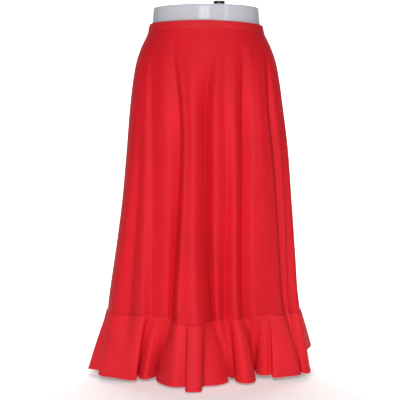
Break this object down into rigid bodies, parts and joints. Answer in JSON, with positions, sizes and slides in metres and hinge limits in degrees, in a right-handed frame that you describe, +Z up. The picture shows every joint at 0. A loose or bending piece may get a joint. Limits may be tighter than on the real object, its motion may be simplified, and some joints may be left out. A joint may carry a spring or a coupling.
{
  "type": "ruffled wrap skirt on a limbless hip form stand",
  "caption": "Long flared wrap skirt with a narrow waistband and a deep ruffled hem, worn on a smooth limbless hip form on a stand.",
  "frame": {"origin": "the floor point under the waist's centre, on the base plate's underside", "axes": "+Z up, -Y towards the front of the skirt, +X towards the viewer's right of the front"},
  "size_m": [0.523, 0.4372, 0.859],
  "materials": {
    "waistband": "matt plain weave",
    "front_over_panel": "matt plain weave",
    "front_under_panel": "matt plain weave",
    "back_panel": "matt plain weave",
    "over_ruffle": "matt plain weave",
    "under_ruffle": "matt plain weave",
    "back_ruffle": "matt plain weave",
    "band_snap": "satin",
    "hip_form": "gloss",
    "form_fitting": "satin",
    "stand_pole": "satin",
    "stand_base": "satin"
  },
  "bodies": {
    "root": {"waistband": "waistband", "front_over_panel": "front_over_panel", "front_under_panel": "front_under_panel", "back_panel": "back_panel", "over_ruffle": "over_ruffle", "under_ruffle": "under_ruffle", "back_ruffle": "back_ruffle", "band_snap": "band_snap", "hip_form": "hip_form", "form_fitting": "form_fitting", "stand_pole": "stand_pole", "stand_base": "stand_base"}
  },
  "joints": []
}
